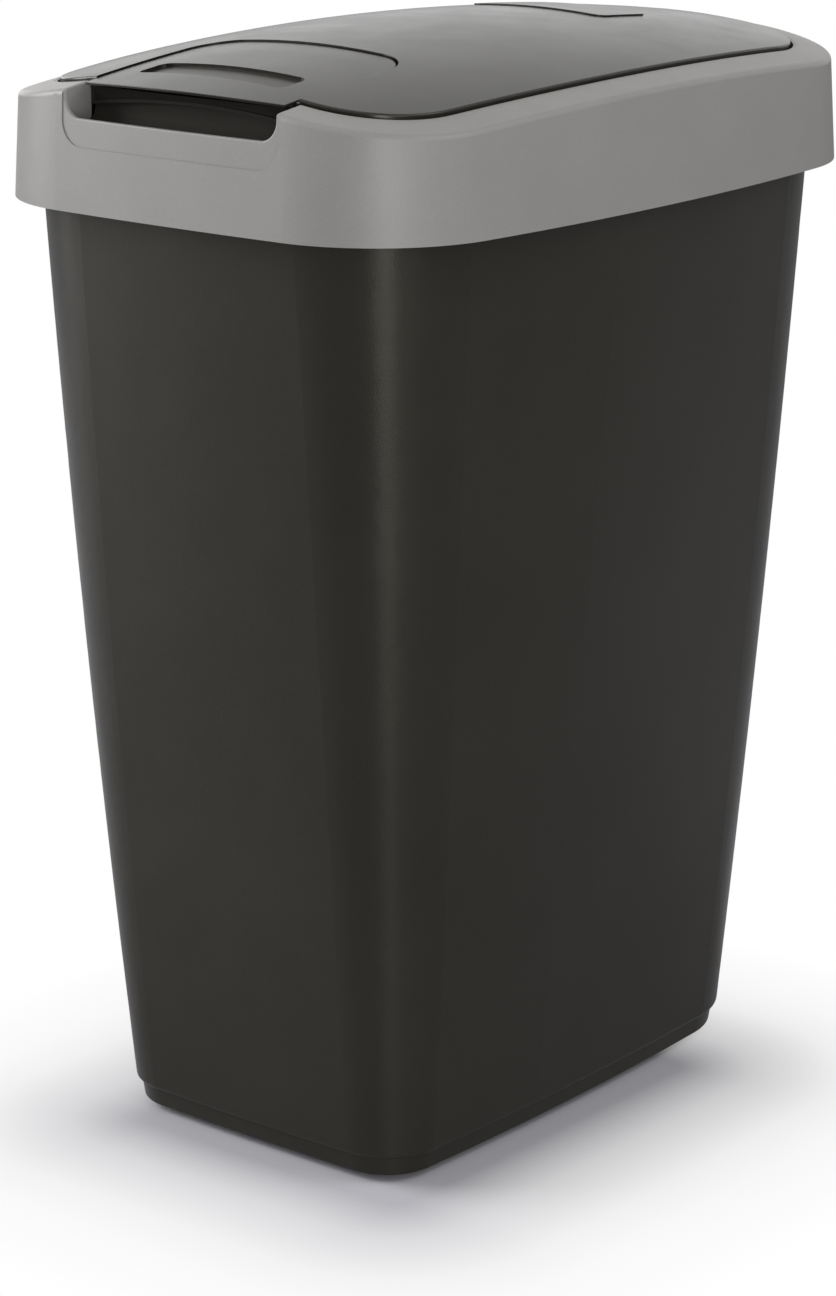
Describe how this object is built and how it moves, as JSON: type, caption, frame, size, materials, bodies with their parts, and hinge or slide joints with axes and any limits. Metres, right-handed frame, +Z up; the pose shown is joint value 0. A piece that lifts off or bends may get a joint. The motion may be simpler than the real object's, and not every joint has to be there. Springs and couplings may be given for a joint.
{
  "type": "lidded trash can",
  "caption": "Tall rectangular kitchen bin: tapered tub, lift-off collar with a finger notch, and a domed lid hinged at the rear with a lift-up grip tongue.",
  "frame": {"origin": "centre of the base on the floor", "axes": "+Z up, +X across the width, the finger notch faces -Y and the hinge is at +Y"},
  "size_m": [0.312, 0.449, 0.5998],
  "materials": {
    "black_plastic": "fine-grained moulded polypropylene, near black",
    "grey_plastic": "satin moulded polypropylene, warm grey",
    "lid_plastic": "semi-gloss moulded polypropylene, dark grey",
    "foot_rubber": "matt black non-slip elastomer",
    "pin_steel": "plain drawn steel"
  },
  "bodies": {
    "tub": {"bin_body": "black_plastic", "foot_front_left": "foot_rubber", "foot_front_right": "foot_rubber", "foot_rear_left": "foot_rubber", "foot_rear_right": "foot_rubber"},
    "collar": {"rim_frame": "grey_plastic", "hinge_pin_left": "pin_steel", "hinge_pin_right": "pin_steel"},
    "lid": {"lid": "lid_plastic", "lid_plate": "lid_plastic", "tongue_pin_left": "pin_steel", "tongue_pin_right": "pin_steel"},
    "tongue": {"lid_tongue": "lid_plastic"}
  },
  "joints": [
    {"name": "frame_lift", "type": "slide", "parent": "tub", "child": "collar", "axis": [0, 0, 1], "range_m": [0, 0.15]},
    {"name": "lid_hinge", "type": "hinge", "parent": "collar", "child": "lid", "pos_m": [0, 0.211, 0.57184], "axis": [-1, 0, 0], "range_deg": [0, 95]},
    {"name": "tongue_lift", "type": "hinge", "parent": "lid", "child": "tongue", "pos_m": [0, -0.1161, 0.58812], "axis": [-1, 0, 0], "range_deg": [0, 9]}
  ]
}
